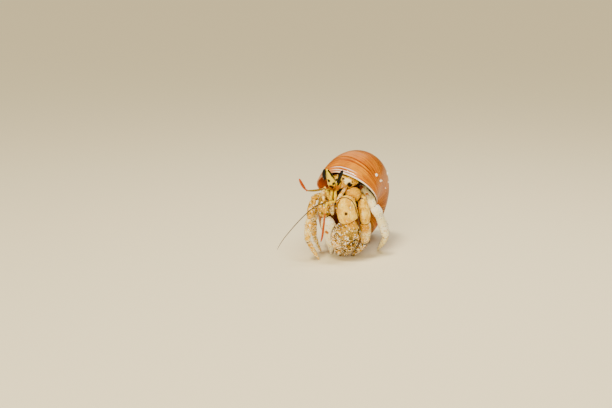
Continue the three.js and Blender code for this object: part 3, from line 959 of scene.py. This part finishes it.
class OBJECT_OT_hermit_feelers(bpy.types.Operator):
    """Makes the folded antennules and the long antennae"""

    bl_idname = "object.hermit_feelers"
    bl_label = "Feelers"

    def execute(self, context):
        for side in ("left", "right"):
            for pair in ("antennule", "antenna"):
                stalk = f"{pair}_{side}_stalk"
                shape = rounded_copy([stalk], 0.07 * MM, relax=3)
                light = colour("bright_gold" if pair == "antennule" else "cream")
                finish = smooth_horn(stalk, colour("gold"), light, 0.3, marks(FEELER_MARKS.get(stalk, [])))
                add_piece(f"{stalk}_horn", shape, finish, [stalk])
                whip = f"{pair}_{side}_whip"
                swell = sizes().whip_swell if pair == "antennule" else -sizes().whip_swell
                shape = finished(
                    merged_copy([whip]),
                    ("SUBSURF", {"levels": 2, "render_levels": 2}),
                    ("DISPLACE", {"strength": swell, "mid_level": 0.0}),
                )
                finish = smooth_horn(whip, colour(pair), colour(pair), 0.35, band_mm=0.22)
                fit_to_box(shape, *(Vector(corner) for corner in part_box(whip)))
                add_piece(f"{whip}_horn", shape, finish, [whip])
        return {"FINISHED"}


class OBJECT_OT_hermit_body(bpy.types.Operator):
    """Makes the shield, the mouthparts and the soft body in the shell"""

    bl_idname = "object.hermit_body"
    bl_label = "Head shield, mouth and body"

    def execute(self, context):
        shield_marks = [
            ((-2.6, -20.5, 27.1), 0.8, "cream"),
            ((-1.7, -20.6, 26.7), 0.8, "cream"),
            ((-2.4, -21.1, 26.2), 0.6, "cream"),
            ((-3.4, -20.2, 27.3), 0.5, "brown"),
            ((-1.5, -21.0, 25.6), 0.8, "dark_mark_and_shade"),
            ((-1.0, -20.5, 25.1), 0.8, "dark_mark_and_shade"),
            ((-0.3, -20.4, 26.3), 0.4, "brown"),
            ((-5.6, -20.3, 27.0), 0.6, "dark_mark_and_shade"),
            ((-4.4, -20.5, 26.9), 0.6, "dark_mark_and_shade"),
            ((-5.4, -20.8, 26.3), 0.4, "cream"),
            ((-5.6, -20.8, 25.6), 0.6, "dark_mark_and_shade"),
        ]
        add_plate("carapace_shield", SHIELD, shield_marks)
        add_plate("mouthpart_left", RUSTY, [])
        add_plate("mouthpart_right", GREYISH, [])
        # The body's dark skin is partly painted shade: it fills the shade under the mouthparts.
        skin = ["thorax", "abdomen"]
        shape = rounded_copy(skin, 0.3 * MM, relax=8)
        roughen(shape, 0.15 * MM, 2.0)
        add_piece("soft_body", shape, soft_skin("body", colour("skin")), skin)
        return {"FINISHED"}


# ---------- skin at the joints ----------

LIMB_PLATES = ("merus", "carpus", "propodus", "dactyl")
JOINTS = [(f"{leg}_{a}", f"{leg}_{b}") for leg in LEG_LOOKS for a, b in zip(LIMB_PLATES, LIMB_PLATES[1:])]
JOINTS += [
    (f"claw_{side}_{a}", f"claw_{side}_{b}")
    for side in ("left", "right")
    for a, b in (("merus", "carpus"), ("carpus", "palm"), ("palm", "dactyl"))
]


FEELER_KNEE = 0.34 * MM


def joint_place(first, second):
    """Centre and reach of the faces with which two neighbouring plates meet."""
    others = SOLIDS[second].data.vertices
    tree = kdtree.KDTree(len(others))
    for i, v in enumerate(others):
        tree.insert(v.co, i)
    tree.balance()
    near = [(tree.find(v.co), v.co) for v in SOLIDS[first].data.vertices]
    gaps = [(gap, (co + other) / 2) for (other, _, gap), co in near]
    nearest = min(gap for gap, _ in gaps)
    meeting = [co for gap, co in gaps if gap < nearest + 0.5 * MM]
    centre = sum(meeting, Vector()) / len(meeting)
    return centre, max((co - centre).length for co in meeting)


class OBJECT_OT_hermit_joint_skin(bpy.types.Operator):
    """Closes the joints between the plates with soft skin"""

    bl_idname = "object.hermit_joint_skin"
    bl_label = "Joint skin"

    def execute(self, context):
        shape = bmesh.new()
        for pair in JOINTS:
            centre, reach = joint_place(*pair)
            radius = min(0.55 * reach, 1.1 * MM, centre.z)
            bmesh.ops.create_uvsphere(
                shape, u_segments=20, v_segments=12, radius=radius, matrix=Matrix.Translation(centre)
            )
        add_piece("joint_skin", shape, soft_skin("joints", colour("skin")))
        shape = bmesh.new()
        for side in ("left", "right"):
            centre, _ = joint_place(f"antennule_{side}_stalk", f"antennule_{side}_whip")
            bmesh.ops.create_uvsphere(
                shape,
                u_segments=16,
                v_segments=10,
                radius=FEELER_KNEE,
                matrix=Matrix.Translation(centre),
            )
        finish = smooth_horn("antennule_knees", colour("antennule"), colour("antennule"), 0.35)
        add_piece("antennule_knees", shape, finish)
        return {"FINISHED"}


# ---------- beads, sand and bristles ----------

TILES = 6  # the plates' unwraps lie in a square of this many tiles each way


def bake_spot(tile, low, high, point):
    """A point's place on its plate's own unwrap: round the plate, and up it."""
    middle = (low + high) / 2
    turn = math.atan2(point.y - middle.y, point.x - middle.x) / FULL_TURN + 0.5
    rise = (point.z - low.z) / (high.z - low.z)
    column, row = tile % TILES, tile // TILES
    return (column + 0.05 + 0.9 * turn) / TILES, (row + 0.05 + 0.9 * rise) / TILES


def scatter(mesh, count, share, seed):
    """Places on a surface as (point, normal), more of them where `share` is large."""
    chance = random.Random(seed)
    faces = [f for f in mesh.polygons if share(f.center, f.normal) > 0]
    weights = [f.area * share(f.center, f.normal) for f in faces]
    return [(f.center.copy(), f.normal.copy()) for f in chance.choices(faces, weights, k=count)]


def mark_new(shape, verts, layers, tint, spot):
    """Gives a new grain its tint and its small patch on the unwrap."""
    tint_layer, uv_layer = layers
    for i, v in enumerate(verts):
        v[tint_layer] = tint
        corner = (spot[0] + 0.0015 * math.cos(i), spot[1] + 0.0015 * math.sin(i))
        for loop in v.link_loops:
            loop[uv_layer].uv = corner


def new_grain_shape():
    shape = bmesh.new()
    return shape, (shape.verts.layers.float.new("tint"), shape.loops.layers.uv.new("OFBake"))


# Share of the grains on a plate by height: many near the tips, few at the top.
def low_down(full, none):
    return lambda point, normal: max(0.0, min(1.0, (none * MM - point.z) / ((none - full) * MM)))


def everywhere(point, normal):
    return 1.0


BEADS = {
    "claw_left_dactyl": (300, low_down(8, 16), 1.0),
    "claw_left_palm": (320, low_down(3, 9), 0.9),
    "leg2_left_dactyl": (150, everywhere, 0.7),
    "leg2_left_propodus": (120, low_down(6, 12), 0.7),
    "claw_right_palm": (60, low_down(3, 10), 0.6),
}
GRIT = {
    "claw_left_palm": (240, low_down(5, 13)),
    "claw_left_dactyl": (220, everywhere),
    "claw_right_palm": (160, everywhere),
    "claw_right_dactyl": (60, everywhere),
    "claw_right_carpus": (50, everywhere),
    "leg2_left_carpus": (40, everywhere),
    "leg2_left_propodus": (190, everywhere),
    "leg2_left_dactyl": (130, everywhere),
    "leg3_left_merus": (60, everywhere),
    "leg3_left_carpus": (70, everywhere),
    "leg3_left_propodus": (110, everywhere),
    "leg3_left_dactyl": (120, everywhere),
    "leg2_right_merus": (40, everywhere),
    "leg2_right_carpus": (60, everywhere),
    "leg2_right_propodus": (80, everywhere),
    "leg2_right_dactyl": (60, everywhere),
    "leg3_right_carpus": (30, everywhere),
    "leg3_right_propodus": (40, everywhere),
    "leg3_right_dactyl": (40, everywhere),
    "carapace_shield": (50, everywhere),
    "mouthpart_right": (40, everywhere),
}
GRAIN_CLEARANCE = 0.4 * MM  # grains keep this far above the floor


def add_grains(shape, layers, tile, name, places, width, chance):
    low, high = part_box(name)
    for point, normal in places:
        radius = 0.5 * width * chance.uniform(0.45, 1.0)
        if point.z - radius < GRAIN_CLEARANCE:
            continue
        stretch = Matrix.Diagonal((1.0, chance.uniform(0.75, 1.0), chance.uniform(0.6, 0.8), 1.0))
        place = facing_matrix(point, normal, 0.25 * radius) @ stretch
        made = bmesh.ops.create_icosphere(shape, subdivisions=1, radius=radius, matrix=place)["verts"]
        mark_new(shape, made, layers, chance.random(), bake_spot(tile, low, high, point))


class OBJECT_OT_hermit_beads(bpy.types.Operator):
    """Sets pearly beads on the great claw and sandy grit on all the limbs"""

    bl_idname = "object.hermit_beads"
    bl_label = "Beads and grit"

    def execute(self, context):
        pearly = [(0.15, colour("brown")), (0.4, colour("khaki")), (0.6, colour("cream")), (0.75, colour("white"))]
        pearl = loose_grains("pearly_lime_beads", pearly, 0.22)
        sandy = [(0.2, colour("brown")), (0.4, colour("orange")), (0.6, colour("straw")), (0.8, colour("white"))]
        sand = loose_grains("sandy_lime_grit", sandy, 0.45)
        for group, table, width, finish in (
            ("beads", BEADS, sizes().bead, pearl),
            ("grit", GRIT, sizes().grit, sand),
        ):
            for tile, (name, (count, share, *scale)) in enumerate(table.items()):
                chance = random.Random(sizes().seed + tile)
                plate = bpy.data.objects[f"{name}_plate"].data
                places = scatter(plate, count, share, sizes().seed * 31 + tile)
                shape, layers = new_grain_shape()
                add_grains(shape, layers, tile, name, places, width * (scale[0] if scale else 1.0), chance)
                add_piece(f"{name}_{group}", shape, finish)
        return {"FINISHED"}


BRISTLED = {
    "leg2_left_carpus": 14,
    "leg2_left_propodus": 34,
    "leg2_left_dactyl": 44,
    "leg3_left_merus": 14,
    "leg3_left_carpus": 12,
    "leg3_left_propodus": 34,
    "leg3_left_dactyl": 44,
    "leg2_right_carpus": 16,
    "leg2_right_propodus": 34,
    "leg2_right_dactyl": 44,
    "leg3_right_carpus": 10,
    "leg3_right_propodus": 24,
    "leg3_right_dactyl": 36,
    "claw_left_carpus": 16,
    "claw_right_carpus": 14,
    "claw_right_palm": 20,
    "mouthpart_left": 40,
    "mouthpart_right": 40,
}


def bristle_lean(name):
    """The way a limb's bristles lean: towards the tip, so mostly down."""
    low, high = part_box(name)
    return Vector((0, 0, -1)) if high.z - low.z > high.y - low.y else Vector((0, -1, 0))


class OBJECT_OT_hermit_bristles(bpy.types.Operator):
    """Adds the short stiff bristles of the legs and the mouthparts"""

    bl_idname = "object.hermit_bristles"
    bl_label = "Bristles"

    def execute(self, context):
        stops = [(0.0, colour("dark_mark_and_shade")), (0.5, colour("brown")), (1.0, colour("gold"))]
        finish = loose_grains("stiff_bristle", stops, 0.4)
        shape, layers = new_grain_shape()
        for tile, (name, count) in enumerate(BRISTLED.items()):
            chance = random.Random(sizes().seed * 17 + tile)
            low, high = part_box(name)
            plate = bpy.data.objects[f"{name}_plate"].data
            for point, normal in scatter(plate, count, everywhere, sizes().seed * 13 + tile):
                length = sizes().bristle * chance.uniform(0.4, 1.0)
                way = (normal * 0.6 + bristle_lean(name) * 0.6).normalized()
                tip = point + way * length
                if min(point.z, tip.z) < GRAIN_CLEARANCE:
                    continue
                made = bmesh.ops.create_cone(
                    shape,
                    cap_ends=True,
                    segments=4,
                    radius1=sizes().bristle_width / 2,
                    radius2=sizes().bristle_width / 8,
                    depth=length,
                    matrix=facing_matrix((point + tip) / 2, way),
                )["verts"]
                mark_new(shape, made, layers, chance.random(), bake_spot(tile, low, high, point))
        add_piece("bristles", shape, finish)
        return {"FINISHED"}


# ---------- stage ----------

CAMERA_PLACE = mm(-15.4, -304.33, 84.56)
CAMERA_PITCH = math.radians(13)
CAMERA_LENS = 52.94
CAMERA_SENSOR = 36.0


def add_light(name, place, target, size, power, tint, along=(1, 0, 0)):
    """A rectangular lamp that faces the target, its first side drawn out along a direction."""
    light = bpy.data.lights.new(name, "AREA")
    light.shape = "RECTANGLE"
    light.size, light.size_y = size
    light.energy = power
    light.color = tint
    lamp = bpy.data.objects.new(name, light)
    back = (place - target).normalized()
    side = back.cross(Vector(along).cross(back)).normalized()
    turn = Matrix((side, back.cross(side), back)).transposed().to_4x4()
    lamp.matrix_world = Matrix.Translation(place) @ turn
    bpy.context.scene.collection.objects.link(lamp)


class OBJECT_OT_hermit_stage(bpy.types.Operator):
    """Sets the pale floor, the soft light and the camera"""

    bl_idname = "object.hermit_stage"
    bl_label = "Stage"

    def execute(self, context):
        scene = bpy.context.scene
        material, tree, shader = new_material("matt_card_floor")
        shader.inputs["Base Color"].default_value = colour("floor")
        shader.inputs["Roughness"].default_value = 0.9
        shape = bmesh.new()
        bmesh.ops.create_circle(shape, cap_ends=True, segments=96, radius=30.0)
        mesh = bpy.data.meshes.new("floor")
        shape.to_mesh(mesh)
        shape.free()
        mesh.materials.append(material)
        floor = bpy.data.objects.new("floor", mesh)
        scene.collection.objects.link(floor)
        heart = mm(-3, -12, 16)
        sun = bpy.data.lights.new("sun", "SUN")
        sun.energy = 3.0
        sun.angle = math.radians(14)
        sun.color = (1.0, 0.9, 0.7)
        lamp = bpy.data.objects.new("sun", sun)
        lamp.matrix_world = Vector((-0.25, -0.35, 1.0)).to_track_quat("Z", "Y").to_matrix().to_4x4()
        scene.collection.objects.link(lamp)
        add_light("strip", mm(62, -45, 315), heart, (0.2, 0.01), 0.7, (1.0, 0.95, 0.88), along=(0.93, -0.36, 0))
        add_light("front", mm(-105, -465, 190), heart, (0.35, 0.35), 2.75, (1.0, 0.9, 0.7))
        world = bpy.data.worlds.new("soft_daylight")
        world.use_nodes = True
        sky = world.node_tree.nodes["Background"]
        sky.inputs["Color"].default_value = linear("#f4e2c0")
        sky.inputs["Strength"].default_value = 0.1
        scene.world = world
        lens = bpy.data.cameras.new("camera")
        lens.lens = CAMERA_LENS
        lens.sensor_width = CAMERA_SENSOR
        lens.clip_start = 0.01
        camera = bpy.data.objects.new("camera", lens)
        camera.location = CAMERA_PLACE
        camera.rotation_euler = (math.pi / 2 - CAMERA_PITCH, 0, 0)
        scene.collection.objects.link(camera)
        scene.camera = camera
        return {"FINISHED"}


# ---------- add-on ----------

STEPS = (
    OBJECT_OT_hermit_shell,
    OBJECT_OT_hermit_claws,
    OBJECT_OT_hermit_legs,
    OBJECT_OT_hermit_eyes,
    OBJECT_OT_hermit_feelers,
    OBJECT_OT_hermit_body,
    OBJECT_OT_hermit_joint_skin,
    OBJECT_OT_hermit_beads,
    OBJECT_OT_hermit_bristles,
    OBJECT_OT_hermit_stage,
)


class VIEW3D_PT_hermit_crab(bpy.types.Panel):
    """Lists the crab's pieces and their settings"""

    bl_idname = "VIEW3D_PT_hermit_crab"
    bl_label = "Hermit crab"
    bl_space_type = "VIEW_3D"
    bl_region_type = "UI"
    bl_category = "Hermit crab"

    def draw(self, context):
        for step in STEPS:
            self.layout.operator(step.bl_idname)
        for group in (context.scene.hermit_crab_sizes, context.scene.hermit_crab_colours):
            box = self.layout.box()
            for name in group.__annotations__:
                box.prop(group, name)


CLASSES = (HermitCrabSizes, HermitCrabColours, *STEPS, VIEW3D_PT_hermit_crab)


def register():
    for each in CLASSES:
        bpy.utils.register_class(each)
    bpy.types.Scene.hermit_crab_sizes = PointerProperty(type=HermitCrabSizes)
    bpy.types.Scene.hermit_crab_colours = PointerProperty(type=HermitCrabColours)


def unregister():
    del bpy.types.Scene.hermit_crab_colours
    del bpy.types.Scene.hermit_crab_sizes
    for each in reversed(CLASSES):
        bpy.utils.unregister_class(each)


def main():
    register()
    for step in STEPS:
        kind, name = step.bl_idname.split(".")
        getattr(getattr(bpy.ops, kind), name)()


if __name__ == "__main__":
    main()
